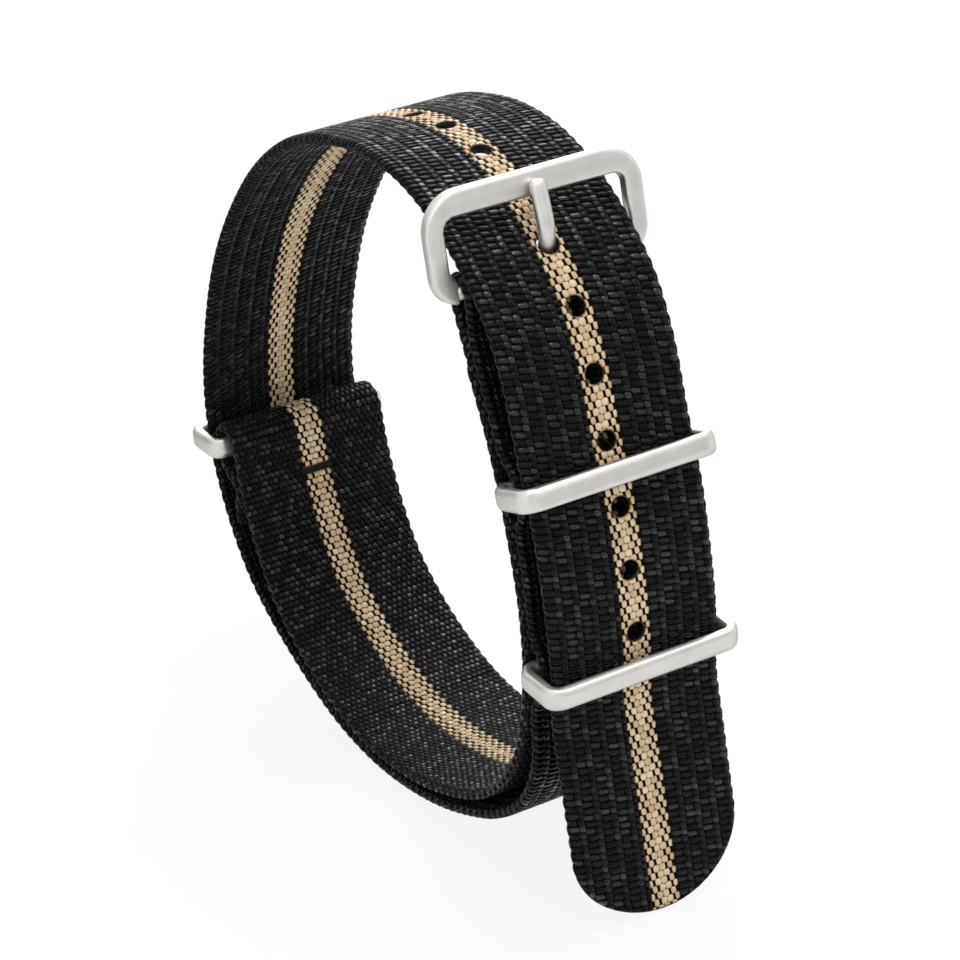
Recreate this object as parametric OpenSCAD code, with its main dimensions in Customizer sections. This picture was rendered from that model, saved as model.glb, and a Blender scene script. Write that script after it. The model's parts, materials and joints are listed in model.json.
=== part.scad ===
// Nylon pass-through watch strap, buckled into a loop and standing on its side rim.
// Millimetres. +X is the front, where the tail hangs down; Y runs across the
// webbing; +Z is up. The loop rests on its lowest bend and on the tail tip.

/* [Webbing] */
// Width of the webbing
strap_width = 20; // [18:0.5:22]
// Thickness of one layer of webbing
web_t = 1.2; // [1:0.05:1.4]
// Air between two layers that lie on each other
ply_gap = 0.06; // [0.04:0.02:0.16]
// Front-to-back size of the loop against the photographed one
loop_x = 1; // [0.92:0.01:1.1]
// Height of the loop against the photographed one
loop_z = 1; // [0.92:0.01:1.1]
// Depth of the rounded tail tip
tip_depth = 8.3; // [5:0.1:10]

/* [Holes] */
// Diameter of a heat-cut adjustment hole
hole_d = 2.3; // [2:0.05:2.8]
// Distance from hole to hole along the tail
hole_pitch = 6.85; // [6:0.05:8]
// Holes on the tail side of the one in use
holes_below = 6; // [3:1:7]
// Holes on the loop side of the one in use
holes_above = 4; // [2:1:6]

/* [Buckle] */
// Air between an edge of the webbing and a side bar of the frame
buckle_slack = 0.5; // [0.4:0.05:1]
// Reach of the frame from its rear bar's axis to its front edge
buckle_reach = 10.4; // [9.6:0.1:11.4]
// Width of the frame's front bar
front_bar = 2.8; // [2:0.1:3.4]
// Width of the frame's side bars
side_bar = 2.1; // [1.6:0.1:2.3]
// Thickness of the frame
frame_t = 1.5; // [1.2:0.1:1.8]
// Outer corner radius of the frame
frame_r = 4.2; // [3:0.1:5]
// Diameter of the rear bar that the webbing folds round
rear_bar_d = 1.6; // [1.3:0.1:1.8]
// Lean of the frame from upright, degrees
frame_lean = 6; // [0:1:10]
// Thickness of the tongue
tongue_d = 1.5; // [1.3:0.05:1.6]

/* [Keepers] */
// Air between an edge of the webbing and a keeper's side bar
keeper_slack = 0.3; // [0.2:0.05:0.8]
// Air inside a keeper beside the two layers that go through it
keeper_room = 2; // [1.8:0.05:2.6]
// Thickness of a keeper's bars
keeper_t = 1.4; // [1.2:0.1:1.5]
// Width of a keeper's bars along the strap
keeper_w = 2.5; // [2:0.1:2.8]
// Outer corner radius of a keeper
keeper_r = 1.9; // [1.5:0.1:2.1]
// Air in the pocket that holds a keeper's rear bar, above the bar
pocket_air = 0.9; // [0.7:0.05:1.2]

/* [Welds] */
// Width of a welded band along the strap
weld_w = 0.8; // [0.6:0.1:1.2]
// Length of a welded band across the strap
weld_len = 14; // [10:0.5:16]
// Distance along the inner layer from the rear bar to the first pocket
pocket_start = 16; // [15:0.5:18]
// Distance between the two pockets
pocket_space = 10; // [8:0.5:12]
// Distance from one welded band to the next beside a keeper
pocket_len = 9; // [8.6:0.1:9.6]

/* [Hidden] */
steel = [0.78, 0.78, 0.76];
nylon = [0.07, 0.07, 0.075];
melt = [0.03, 0.03, 0.03];
step = 2.2;
eps = 0.02;
keeper_len = strap_width + 2 * (keeper_slack + keeper_t);
keeper_depth = 2 * (keeper_t + web_t) + keeper_room;
buckle_len = strap_width + 2 * (buckle_slack + side_bar);
pocket_h = keeper_t + pocket_air;
shift_x = 2.97;
h = web_t / 2;
lay = web_t + ply_gap;
fold_r = rear_bar_d / 2 + 0.06 + h;

// Small vector helpers in the loop's plane.
function scl(p) = [p[0] * loop_x, p[1] * loop_z];
function unit(v) = v / norm(v);
function turn(v) = [-v[1], v[0]];
function smooth(x) = x <= 0 ? 0 : x >= 1 ? 1 : x * x * (3 - 2 * x);

// A curve through round points: Hermite spans with chord-weighted tangents.
function tangent(p, i) =
    let (n = len(p) - 1)
    i == 0 ? unit(p[1] - p[0]) :
    i == n ? unit(p[n] - p[n - 1]) :
    let (a = p[i] - p[i - 1], b = p[i + 1] - p[i], da = norm(a), db = norm(b))
    (a / da * db + b / db * da) / (da + db);
function span_at(p, i, u) =
    let (d = norm(p[i + 1] - p[i]), a = tangent(p, i) * d, b = tangent(p, i + 1) * d)
    p[i] * (2 * u * u * u - 3 * u * u + 1) + a * (u * u * u - 2 * u * u + u)
    + p[i + 1] * (3 * u * u - 2 * u * u * u) + b * (u * u * u - u * u);
function curve(p, ds) = [
    for (i = [0 : len(p) - 2])
        let (m = max(1, ceil(norm(p[i + 1] - p[i]) / ds)))
        for (k = [0 : m - 1]) span_at(p, i, k / m),
    p[len(p) - 1]];

// Running length along a list of points, and the point and heading at a length.
function runs(p, i = 0, s = 0) =
    i == len(p) - 1 ? [s] : concat([s], runs(p, i + 1, s + norm(p[i + 1] - p[i])));
function seek(r, s, i = 0) = i >= len(r) - 2 || r[i + 1] > s ? i : seek(r, s, i + 1);
function at(p, r, s) =
    let (i = seek(r, s), u = (s - r[i]) / (r[i + 1] - r[i]))
    p[i] + (p[i + 1] - p[i]) * u;
function heading(p, r, s) = unit(at(p, r, s + 0.6) - at(p, r, s - 0.6));

// The inner layer: from the buckle's rear bar down the front, round the bottom
// and up the back to the end keeper.
pivot = scl([29.8, 67.6]);
down = unit([0.40, -0.917]);
out = turn(down);
k3_long = scl([-36.45, 29.55]);
bar_air = 0.2;
pocket_r = keeper_t + bar_air + h;
k3_bar = k3_long + [2 * web_t + keeper_room + keeper_t / 2 - h - 0.5, 0.1];
main_top = k3_bar + [0.65 + pocket_r, 0.45];
inner_pts = concat(
    [pivot - out * fold_r - down * 0.01],
    [for (q = [[30.6, 61.4], [33.8, 52.4], [36.0, 43.8], [37.1, 34.4], [36.4, 25.4],
               [34.2, 18.4], [30.4, 12.8], [24.8, 8.3], [16.4, 4.75], [6, 2.55], [-5, 3.1],
               [-12, 5.3], [-18.6, 9.0], [-23.3, 13.4], [-26.2, 18.2]]) scl(q)],
    [main_top + [1.3, -6.9], main_top + [0.3, -2.9], main_top]);
inner = curve(inner_pts, 1.1);
inner_run = runs(inner);
function in_at(s) = at(inner, inner_run, s);
function in_dir(s) = heading(inner, inner_run, s);
function in_out(s) = turn(in_dir(s));

// Where the welds and keepers sit along the inner layer.
s_w1 = 6.4;
s_w2 = pocket_start * loop_z;
s_w3 = s_w2 + pocket_len;
s_w4 = s_w3 + pocket_space * loop_z;
s_w5 = s_w4 + pocket_len;
s_k1 = (s_w2 + s_w3) / 2;
s_k2 = (s_w4 + s_w5) / 2;
slot_half = weld_w / 2 + 0.05;

// The second layer lies on the first, lifts over a keeper's bar in each pocket,
// and opens round the buckle's rear bar.
function bump(s, a, b) =
    s <= a || s >= b ? 0 : pow((1 - cos(360 * (s - a) / (b - a))) / 2, 0.62);
function lift(s) =
    lay + (2 * fold_r - lay) * (1 - smooth(s / (s_w1 - slot_half - 0.3)))
    + (pocket_h - ply_gap) * (bump(s, s_w2 + slot_half, s_w3 - slot_half)
                              + bump(s, s_w4 + slot_half, s_w5 - slot_half));
function second(s) = in_at(s) + in_out(s) * lift(s);

// The loop: from the tongue over the top, down the back and round the bottom.
top_pts = [for (q = [[27.4, 73.0], [23.4, 75.3], [18.8, 77.0], [12.3, 77.9], [4.5, 77.2],
    [-5, 74.6], [-14.2, 69.4], [-22.4, 62.2], [-28.6, 54.3], [-33, 46.1], [-35.6, 38.6],
    [-36.5, 32.3], [-36.2, 26], [-34.2, 19.6], [-30.2, 13.4], [-24.5, 8.6], [-17.8, 4.9],
    [-9.5, 2.0], [0, 0.6], [9.5, 1.25], [18.5, 3.3], [26.8, 6.6], [33, 11.2], [36.4, 17]])
    scl(q)];
low = min([for (q = curve(top_pts, 1)) q[1]]) - h;

// The tail: from its tip up the front, over the fold to the tongue's hole.
tail_gap_1 = pocket_h + 2 * web_t + 0.6;
tail_gap_2 = pocket_h + 2 * web_t + 0.3;
lean_out = unit([0.415, 0.91]);
tongue_point = pivot + lean_out * (fold_r + 2 * h + 0.27);
tail_pts = concat(
    [[44.3 * loop_x, low + 0.09], scl([43.2, 7.5]), scl([42, 17])],
    [in_at(s_k2 + 2.6) + in_out(s_k2 + 2.6) * (tail_gap_2 - 0.05),
     in_at(s_k2) + in_out(s_k2) * tail_gap_2,
     in_at(s_k2 - 2.6) + in_out(s_k2 - 2.6) * (tail_gap_2 - 0.05),
     in_at(s_w4 - 5) + in_out(s_w4 - 5) * (tail_gap_2 - 0.1),
     in_at(s_k1 + 3) + in_out(s_k1 + 3) * tail_gap_1,
     in_at(s_k1 - 3) + in_out(s_k1 - 3) * tail_gap_1,
     in_at(9) + in_out(9) * 6.0,
     in_at(3.2) + in_out(3.2) * 5.6],
    [tongue_point]);
outer_pts = concat(tail_pts, top_pts, [second(s_w5 + 1)]);
outer = curve(outer_pts, step);

// Layer after layer of the long piece: tail, loop, second layer, fold, stub.
front_up = [for (s = [s_w5 : -0.8 : 1.2]) second(s)];
fold_a = atan2(out[1], out[0]);
fold_arc = [for (k = [0 : 12]) pivot + fold_r * [cos(fold_a + 15 * k), sin(fold_a + 15 * k)]];
stub_end = s_w1 + slot_half + 0.6;
stub = [for (s = [1 : 0.9 : stub_end]) in_at(s)];
long_path = concat(outer, front_up, fold_arc, stub, [in_at(stub_end)]);
long_run = runs(long_path);
tongue_s = runs(curve(tail_pts, step))[len(curve(tail_pts, step)) - 1];

// The end keeper hangs in the short piece's folded end, round the long piece.
k3_in = [1, 0];
k3_up = [0, 1];
k3_at = k3_bar - [keeper_t / 2, 0];
fold3_c = main_top - k3_in * pocket_r;
fold3 = [for (k = [1 : 12]) fold3_c + pocket_r * [cos(15 * k), sin(15 * k)]];
in_len = inner_run[len(inner_run) - 1];
s_w6 = in_len - 4.9;
flap_join = in_at(s_w6) + in_out(s_w6) * lay;
flap_pts = [fold3_c - k3_in * pocket_r, fold3_c - k3_in * (pocket_r + 0.05) - k3_up * 1.5,
            (fold3_c - k3_in * pocket_r + flap_join) / 2 + [-0.1, -1.15],
            flap_join, flap_join + [-0.55, -2.4], flap_join + [-0.7, -4.6]];
flap = curve(flap_pts, 0.8);
short_start = stub_end + 0.12;
short_path = concat([in_at(short_start)],
    [for (i = [0 : len(inner) - 1]) if (inner_run[i] > short_start + 0.3) inner[i]],
    fold3, [for (i = [1 : len(flap) - 1]) flap[i]]);

// Webbing as a flat ribbon of even thickness laid along a list of points.
function ribbon_side(p, d) = [
    for (i = [0 : len(p) - 1])
        let (a = i == 0 ? unit(p[1] - p[0]) : unit(p[i] - p[i - 1]),
             b = i == len(p) - 1 ? a : unit(p[i + 1] - p[i]),
             n = unit(turn(a) + turn(b)))
        p[i] + n * d / max(0.5, n * turn(a))];
function reversed(p) = [for (i = [len(p) - 1 : -1 : 0]) p[i]];
module ribbon(p, w) {
    rotate([90, 0, 0])
        linear_extrude(height = w, center = true)
            polygon(concat(ribbon_side(p, h), reversed(ribbon_side(p, -h))));
}

// Places children at a point of the plane, with local X along a heading.
module seat(q, d) {
    translate([q[0], 0, q[1]])
        rotate([0, -atan2(d[1], d[0]), 0])
            children();
}
module base() {
    translate([-shift_x, 0, -low]) children();
}

// A weld plug through two layers, and the slot it sits in.
module plug(s, grow) {
    seat(in_at(s) + in_out(s) * lay / 2, in_dir(s))
        cube([weld_w + 2 * grow, weld_len + 2 * grow, lay + web_t - 0.16 + 40 * grow],
             center = true);
}
module slots() {
    for (s = [s_w1, s_w2, s_w3, s_w4, s_w5, s_w6]) plug(s, eps);
}
module weld(s) {
    color(melt) base() plug(s, 0);
}

module long_strap() {
    color(nylon) base() difference() {
        ribbon(long_path, strap_width);
        slots();
        for (k = [-holes_below : holes_above])
            let (s = tongue_s + k * hole_pitch,
                 q = at(long_path, long_run, s),
                 d = heading(long_path, long_run, s))
            seat(q, d) cylinder(h = 3 * web_t, d = hole_d, center = true, $fn = 48);
        tip_cut();
        eye_slot();
    }
}
// Opening in the fold for the tongue's eye.
module eye_slot() {
    seat(pivot, down)
        translate([-0.35, 0, 0])
            cube([4.1, tongue_d + 0.9, 5.2], center = true);
}
// Rounds the tail's end across its width.
module tip_cut() {
    d = unit(long_path[1] - long_path[0]);
    w = strap_width / 2;
    seat(long_path[0], d)
        difference() {
            translate([tip_depth / 2 - 1.5, 0, 0])
                cube([tip_depth + 3, strap_width + 2, 3 * web_t], center = true);
            translate([tip_depth, 0, 0])
                scale([tip_depth / w, 1, 1])
                    cylinder(h = 4 * web_t, r = w, center = true, $fn = 96);
            translate([tip_depth + 3, 0, 0])
                cube([6, strap_width + 4, 4 * web_t], center = true);
        }
}

module short_strap() {
    color(nylon) base() difference() {
        ribbon(short_path, strap_width);
        slots();
    }
}

// Buckle frame: a flat bar bent into a rounded oblong, with a round rear bar.
lean_dir = [-sin(frame_lean), cos(frame_lean)];
window_l = buckle_len - 2 * side_bar;
window_r = 1.3;
rear_r = (buckle_len - strap_width) / 2 - 0.2;
module frame_blank() {
    rear = -rear_bar_d / 2;
    translate([rear + rear_r, -buckle_len / 2, -frame_t / 2])
        cube([buckle_reach - rear - rear_r - frame_r, buckle_len, frame_t]);
    translate([rear, -buckle_len / 2 + rear_r, -frame_t / 2])
        cube([rear_r + 0.1, buckle_len - 2 * rear_r, frame_t]);
    translate([buckle_reach - frame_r - 0.1, -buckle_len / 2 + frame_r, -frame_t / 2])
        cube([frame_r + 0.1, buckle_len - 2 * frame_r, frame_t]);
    for (b = [-1, 1]) {
        translate([rear + rear_r, b * (buckle_len / 2 - rear_r), 0])
            cylinder(h = frame_t, r = rear_r, center = true, $fn = 48);
        translate([buckle_reach - frame_r, b * (buckle_len / 2 - frame_r), 0])
            cylinder(h = frame_t, r = frame_r, center = true, $fn = 64);
    }
}
module buckle_frame() {
    color(steel) base() seat(pivot, lean_dir) {
        difference() {
            frame_blank();
            window();
        }
        rotate([90, 0, 0])
            cylinder(h = window_l + 1.6, d = rear_bar_d, center = true, $fn = 48);
    }
}
module window() {
    top = buckle_reach - front_bar;
    bottom = -rear_bar_d / 2 - 1;
    translate([(top + bottom) / 2 - window_r / 2, 0, 0])
        cube([top - bottom - window_r, window_l, 3 * frame_t], center = true);
    translate([top - window_r, 0, 0])
        cube([2 * window_r, window_l - 2 * window_r, 3 * frame_t], center = true);
    for (b = [-1, 1])
        translate([top - window_r, b * (window_l / 2 - window_r), 0])
            cylinder(h = 3 * frame_t, r = window_r, center = true, $fn = 32);
}

// Tongue: an eye round the rear bar, a stem through the hole, a bend, and a
// straight arm that rests on the front bar.
tongue_r = tongue_d / 2;
rest_off = frame_t / 2 + tongue_r + 0.04;
knee = pivot + lean_out * (fold_r + 3 * h + tongue_r + 0.6);
rest = pivot + lean_dir * (buckle_reach - front_bar * 0.55)
     + [lean_dir[1], -lean_dir[0]] * rest_off;
module rod(a, b, d) {
    seat(a, b - a) rotate([0, 90, 0]) cylinder(h = norm(b - a), d = d, $fn = 96);
}
module ball(a, d) {
    translate([a[0], 0, a[1]]) sphere(d = d, $fn = 96);
}
module across(d, l) {
    translate([pivot[0], 0, pivot[1]]) rotate([90, 0, 0])
        cylinder(h = l, d = d, center = true, $fn = 96);
}
module buckle_tongue() {
    color(steel) base() {
        difference() {
            union() {
                across(rear_bar_d + 1.22, tongue_d + 0.1);
                rod(pivot + lean_out * (rear_bar_d / 2 + 0.3), knee, tongue_d);
            }
            across(rear_bar_d + 0.12, 2 * tongue_d);
        }
        ball(knee, tongue_d + 0.06);
        rod(knee, rest, tongue_d);
        ball(rest, tongue_d - 0.04);
    }
}

// Keeper: a closed oblong ring of flat bar with round edges. Local X runs along
// the strap and Z outward through the layers, from the outer side of the rear bar.
function bar_profile() =
    let (r = keeper_t / 2, c = keeper_w / 2 - r)
    [for (e = [1, -1]) for (k = [0 : 5])
        [r * cos(90 - 90 * e + 36 * k), e * c + r * sin(90 - 90 * e + 36 * k)]];
module straight_bar(l) {
    rotate([90, 0, 90]) linear_extrude(height = l, center = true) polygon(bar_profile());
}
module bar_corner() {
    rotate_extrude(angle = 90, $fn = 48)
        translate([keeper_r - keeper_t / 2, 0]) polygon(bar_profile());
}
module keeper(q, d) {
    y = keeper_len / 2;
    z = keeper_depth / 2;
    color(steel) base() seat(q, d)
        translate([0, 0, z - keeper_t])
            rotate([90, 0, 90]) {
                for (a = [-1, 1]) {
                    translate([0, a * (z - keeper_t / 2), 0])
                        straight_bar(2 * (y - keeper_r));
                    translate([a * (y - keeper_t / 2), 0, 0])
                        rotate([0, 0, 90]) straight_bar(2 * (z - keeper_r));
                }
                for (k = [0 : 3])
                    translate([(k == 0 || k == 3 ? 1 : -1) * (y - keeper_r),
                               (k < 2 ? 1 : -1) * (z - keeper_r), 0])
                        rotate([0, 0, 90 * k]) bar_corner();
            }
}
bar_seat = h + 0.15 + keeper_t;
module upper_keeper() {
    keeper(in_at(s_k1) + in_out(s_k1) * bar_seat, in_dir(s_k1));
}
module lower_keeper() {
    keeper(in_at(s_k2) + in_out(s_k2) * bar_seat, in_dir(s_k2));
}
module end_keeper() {
    keeper(k3_at, k3_up);
}

long_strap();
short_strap();
buckle_frame();
buckle_tongue();
upper_keeper();
lower_keeper();
end_keeper();
weld(s_w1);  // weld_1
weld(s_w2);  // weld_2
weld(s_w3);  // weld_3
weld(s_w4);  // weld_4
weld(s_w5);  // weld_5
weld(s_w6);  // weld_6
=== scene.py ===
"""Pass-through nylon watch strap: woven webbing, welds and stainless hardware, round a fixed frame."""
import json
import math

import bmesh
import bpy
import numpy as np
from mathutils import Matrix, Vector


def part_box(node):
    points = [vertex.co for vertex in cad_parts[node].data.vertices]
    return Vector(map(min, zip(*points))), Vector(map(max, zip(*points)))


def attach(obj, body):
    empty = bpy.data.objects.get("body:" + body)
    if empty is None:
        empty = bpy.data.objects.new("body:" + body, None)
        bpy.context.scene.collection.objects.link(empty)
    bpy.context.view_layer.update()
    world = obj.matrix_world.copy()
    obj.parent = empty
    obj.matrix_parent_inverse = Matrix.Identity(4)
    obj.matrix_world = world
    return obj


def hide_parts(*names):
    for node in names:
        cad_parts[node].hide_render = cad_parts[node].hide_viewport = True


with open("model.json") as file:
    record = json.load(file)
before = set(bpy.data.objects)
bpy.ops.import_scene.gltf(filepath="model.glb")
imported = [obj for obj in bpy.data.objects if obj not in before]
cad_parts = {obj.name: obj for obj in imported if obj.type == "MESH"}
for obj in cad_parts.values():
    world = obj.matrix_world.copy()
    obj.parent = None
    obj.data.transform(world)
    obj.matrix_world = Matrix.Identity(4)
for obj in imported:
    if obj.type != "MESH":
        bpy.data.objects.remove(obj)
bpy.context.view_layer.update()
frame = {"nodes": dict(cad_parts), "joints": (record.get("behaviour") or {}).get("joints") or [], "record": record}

bl_info = {
    "name": "Nylon Pass-Through Strap",
    "version": (1, 0, 0),
    "blender": (4, 5, 0),
    "location": "View3D > Sidebar > Strap",
    "description": "Builds a buckled nylon watch strap with its buckle and keepers",
    "category": "Add Mesh",
}

MM = 0.001
WEBBING_BODY = "webbing"
HALF_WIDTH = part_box("short_strap")[1].y
PIVOT = Vector(next(j["pos_m"] for j in frame["joints"] if j["name"] == "buckle_hinge"))

# Headings from the pivot: of the tongue's stem, and down the webbing past the opening for the tongue's eye.
STEM = Vector((0.415, 0, 0.91)).normalized()
OPENING_DOWN = np.array([0.3998, -0.9166])

TONGUE_IN_HOLE = 2.93 * MM
HOLE_COUNT = 11
HOLE_IN_USE = 6
WELDS = range(1, 7)


# Sizes, colours and the view.


def number_property(name, about, default, **settings):
    return bpy.props.FloatProperty(name=name, description=about, default=default, **settings)


def length_property(name, about, millimetres):
    return number_property(name, about, millimetres * MM, subtype="DISTANCE", unit="LENGTH")


def angle_property(name, about, degrees):
    return number_property(name, about, math.radians(degrees), subtype="ANGLE")


def vector_property(name, about, default, subtype="COLOR"):
    return bpy.props.FloatVectorProperty(name=name, description=about, default=default, subtype=subtype)


class WebbingSizes(bpy.types.PropertyGroup):
    """Sizes of the woven webbing."""

    bead: length_property("Bead pitch", "Distance from knuckle to knuckle across the webbing", 0.88)
    small_bead: length_property("Small bead", "Width of the plain weave's black knuckles", 0.7)
    row: length_property("Row", "Distance between two rows of knuckles", 0.75)
    rib: length_property("Rib", "Width of a wide and a narrow knuckle of the black yarn", 1.98)
    wide: number_property("Wide", "Share of a rib that its wide knuckle takes", 0.61)
    slant: number_property("Slant", "Rows by which a rib's knuckles slope", 0.55)
    relief: length_property("Relief", "Height of a knuckle in the mesh", 0.15)
    half_core: length_property("Half core", "Half the thickness under the knuckles", 0.45)
    selvage: length_property("Selvage", "Width of the rounded edge", 0.54)
    scallop: length_property("Scallop", "Depth of the weft loops along the edge", 0.2)
    stripe_half: length_property("Half stripe", "Half the width of the centre stripe", 1.72)
    tip: length_property("Tip", "Depth of the rounded tail tip", 8.3)
    hole_radius: length_property("Hole radius", "Radius of a heat-cut hole", 1.06)
    worn_radius: length_property("Worn radius", "Radius of the hole that the tongue has widened", 1.2)
    hole_pitch: length_property("Hole pitch", "Distance from hole to hole", 6.85)
    weld_press: length_property("Weld press", "How far a weld is pressed into the webbing", 0.3)
    weld_half: length_property("Half weld", "Half the width over which a weld shows on the face", 2.5)


class SteelSizes(bpy.types.PropertyGroup):
    """Sizes of the stainless parts that the frame doesn't give."""

    bar: length_property("Bar", "Thickness of a keeper's bar", 1.4)
    keeper_corner: length_property("Keeper corner", "Outer corner radius of a keeper", 1.9)
    keeper_edge: length_property("Keeper edge", "Rounding of a keeper's edges", 0.6)
    keeper_dome: number_property("Keeper dome", "How far a keeper's rounding is drawn out", 1.6)
    frame_edge: length_property("Frame edge", "Rounding of the buckle frame's edges", 0.5)
    frame_dome: number_property("Frame dome", "How far the frame's rounding is flattened", 0.8)
    frame_thickness: length_property("Frame thickness", "Thickness of the buckle frame's bar", 1.5)
    front_corner: length_property("Front corner", "Outer radius of the frame's front corners", 4.2)
    rear_corner: length_property("Rear corner", "Outer radius of the frame's rear corners", 3.2)
    window_corner: length_property("Window corner", "Radius of the corners of the frame's window", 1.3)
    front_bar: length_property("Front bar", "Width of the frame's front bar", 2.8)
    side_bar: length_property("Side bar", "Width of the frame's side bars", 2.1)
    rear_bar: length_property("Rear bar", "Diameter of the frame's rear bar", 1.6)
    frame_lean: angle_property("Frame lean", "Lean of the frame toward the loop", 6)
    tongue: length_property("Tongue", "Thickness of the tongue's wire", 1.5)
    tongue_width: length_property("Tongue width", "Width of the tongue's arm", 1.85)


class StrapColours(bpy.types.PropertyGroup):
    """Colours, linear."""

    black: vector_property("Black yarn", "Colour of the black yarn", (0.0034, 0.0036, 0.0038))
    tan_light: vector_property("Light tan", "Lighter yarn of the stripe", (0.77, 0.64, 0.43))
    tan_dark: vector_property("Dark tan", "Darker yarn of the stripe", (0.60, 0.44, 0.26))
    tan_peach: vector_property("Peach tan", "Yarn of the stripe with a peach tint", (0.74, 0.52, 0.35))
    # Painted shade for the flanks of the stripe's knuckles.
    tan_rim_shade: vector_property("Tan rim", "Shaded rim of the stripe's knuckles", (0.33, 0.19, 0.09))
    steel: vector_property("Steel", "Colour of the stainless bars", (0.75, 0.732, 0.70))


class StageView(bpy.types.PropertyGroup):
    """Where the camera stands."""

    azimuth: angle_property("Azimuth", "Turn of the camera from the -Y side", 61.98)
    elevation: angle_property("Elevation", "Height angle of the camera", 24.48)
    roll: angle_property("Roll", "Turn about the line of sight", -5.56)
    distance: length_property("Distance", "From the camera to the point it looks at", 350)
    target: vector_property("Target", "The point the camera looks at", (0.00939, 0.0, 0.03811), "XYZ")
    lens: number_property("Lens", "Focal length on a 36 mm sensor, in millimetres", 121.5)


def sizes():
    return bpy.context.scene.strap_webbing


def steel_sizes():
    return bpy.context.scene.strap_steel


def colours():
    return bpy.context.scene.strap_colours


# Routes of the webbing, read from the frame's ribbons.


class Route:
    """A line in the loop's plane with a place, heading and normal at every running length."""

    def __init__(self, corners):
        spacing = 0.1 * MM
        chords = np.linalg.norm(np.diff(corners, axis=0), axis=1)
        places = []
        tangents = self.tangents(corners, chords)
        for i, chord in enumerate(chords):
            steps = max(1, int(chord / spacing))
            t = (np.arange(steps) / steps)[:, None]
            places.append(
                corners[i] * (2 * t**3 - 3 * t**2 + 1)
                + tangents[i] * chord * (t**3 - 2 * t**2 + t)
                + corners[i + 1] * (3 * t**2 - 2 * t**3)
                + tangents[i + 1] * chord * (t**3 - t**2)
            )
        self.dense = np.concatenate(places + [corners[-1:]])
        gaps = np.linalg.norm(np.diff(self.dense, axis=0), axis=1)
        self.run = np.concatenate([[0], np.cumsum(gaps)])
        self.length = self.run[-1]

    @staticmethod
    def tangents(corners, chords):
        unit = np.diff(corners, axis=0) / chords[:, None]
        inner = unit[:-1] * chords[1:, None] + unit[1:] * chords[:-1, None]
        inner /= (chords[1:] + chords[:-1])[:, None]
        return np.concatenate([unit[:1], inner, unit[-1:]])

    def at(self, run):
        """Places at running lengths; lengths before the start go on straight."""
        place = np.stack([np.interp(run, self.run, self.dense[:, k]) for k in (0, 1)], -1)
        start = (self.dense[3] - self.dense[0]) / self.run[3]
        return place + np.minimum(run, 0)[..., None] * start

    def normal(self, run, reach=0.5 * MM):
        """Unit normals to the left of the heading, evened out over a short reach."""
        ahead = self.at(np.minimum(run + reach, self.length)) - self.at(run - reach)
        ahead /= np.linalg.norm(ahead, axis=-1, keepdims=True)
        return np.stack([-ahead[..., 1], ahead[..., 0]], -1)

    def nearest(self, place, within):
        """Running lengths at which the route passes a place within a distance."""
        gap = np.linalg.norm(self.dense - np.array(place), axis=1)
        return [
            self.run[i]
            for i in range(1, len(gap) - 1)
            if gap[i] < within and gap[i] <= gap[i - 1] and gap[i] < gap[i + 1]
        ]


def side_loop(node):
    """The corners round the flat side of a ribbon of the frame, in order."""
    mesh = frame["nodes"][node].data
    edge_y = min(v.co.y for v in mesh.vertices)
    key = [(round(v.co.x / MM, 4), round(v.co.z / MM, 4)) for v in mesh.vertices]
    on_side = [abs(v.co.y - edge_y) < 1e-6 for v in mesh.vertices]
    after = {}
    for face in mesh.polygons:
        ring = list(face.vertices)
        if all(on_side[v] for v in ring):
            for a, b in zip(ring, ring[1:] + ring[:1]):
                after.setdefault(key[a], set()).add(key[b])
    border = {a: b for a, ends in after.items() for b in ends if a not in after.get(b, ())}
    loop = [next(iter(border))]
    while len(loop) < len(border):
        loop.append(border[loop[-1]])
    return np.array(loop) * MM


def route_of(node, start_near):
    """The middle line of a ribbon: the mean of its two sides between its square ends."""
    loop = side_loop(node)
    into = loop - np.roll(loop, 1, 0)
    out = np.roll(loop, -1, 0) - loop
    cosine = (into * out).sum(1) / np.linalg.norm(into, axis=1) / np.linalg.norm(out, axis=1)
    ends = sorted(np.argsort(cosine)[:4])
    count = len(loop)
    pairs = [(a, b) for a in ends for b in ends if (b - a) % count == 1]
    first = pairs[0][1]
    half = count // 2
    left = [loop[(first + k) % count] for k in range(half)]
    right = [loop[(first - 1 - k) % count] for k in range(half)]
    middle = (np.array(left) + np.array(right)) / 2
    start = np.array(start_near)
    if np.linalg.norm(middle[-1] - start) < np.linalg.norm(middle[0] - start):
        middle = middle[::-1]
    return Route(middle)


# The webbing's weave.


def smooth(x):
    x = np.clip(x, 0, 1)
    return x * x * (3 - 2 * x)


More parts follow.
